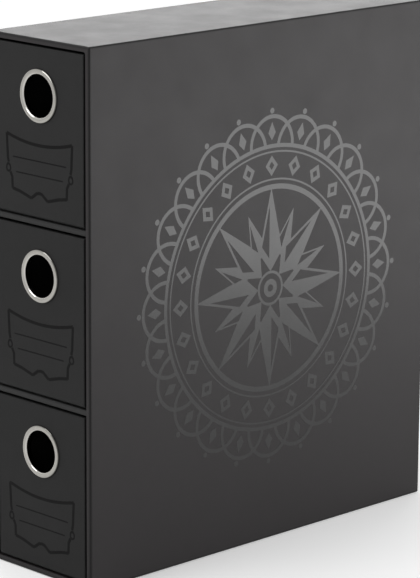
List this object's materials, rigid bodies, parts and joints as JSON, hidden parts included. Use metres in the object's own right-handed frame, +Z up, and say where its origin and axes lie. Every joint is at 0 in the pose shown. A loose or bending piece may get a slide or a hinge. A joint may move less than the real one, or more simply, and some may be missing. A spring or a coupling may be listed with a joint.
{
  "type": "trading card drawer box",
  "caption": "Tall narrow black card storage box: a paper-covered board casing holding stacked drawers with metal finger rings.",
  "frame": {"origin": "on the resting face, at the centre of the casing's footprint", "axes": "+Z up, +X to the right as seen from the front, the drawers face -Y"},
  "size_m": [0.091, 0.3043, 0.34],
  "materials": {
    "cover_paper": "matt laminated black, soft to the touch",
    "drawer_paper": "matt black with a fine fibre",
    "sheet_paper": "matt uncoated black",
    "black_board": "black solid board",
    "ring_nickel": "bright nickel plate"
  },
  "bodies": {
    "casing": {"case_left_board": "black_board", "case_right_board": "black_board", "case_top_board": "black_board", "case_bottom_board": "black_board", "case_back_board": "black_board", "middle_shelf": "black_board", "upper_shelf": "black_board", "middle_shelf_edging": "drawer_paper", "upper_shelf_edging": "drawer_paper", "case_cover": "cover_paper", "base_paper": "sheet_paper", "back_paper": "sheet_paper"},
    "lower_drawer": {"lower_front_board": "black_board", "lower_back_board": "black_board", "lower_left_board": "black_board", "lower_right_board": "black_board", "lower_bottom_board": "black_board", "lower_cover": "drawer_paper", "lower_finger_ring": "ring_nickel"},
    "middle_drawer": {"middle_front_board": "black_board", "middle_back_board": "black_board", "middle_left_board": "black_board", "middle_right_board": "black_board", "middle_bottom_board": "black_board", "middle_cover": "drawer_paper", "middle_finger_ring": "ring_nickel"},
    "upper_drawer": {"upper_front_board": "black_board", "upper_back_board": "black_board", "upper_left_board": "black_board", "upper_right_board": "black_board", "upper_bottom_board": "black_board", "upper_cover": "drawer_paper", "upper_finger_ring": "ring_nickel"}
  },
  "joints": [
    {"name": "lower_drawer_slide", "type": "slide", "parent": "casing", "child": "lower_drawer", "axis": [0, -1, 0], "range_m": [0, 0.285]},
    {"name": "middle_drawer_slide", "type": "slide", "parent": "casing", "child": "middle_drawer", "axis": [0, -1, 0], "range_m": [0, 0.285]},
    {"name": "upper_drawer_slide", "type": "slide", "parent": "casing", "child": "upper_drawer", "axis": [0, -1, 0], "range_m": [0, 0.285]}
  ]
}
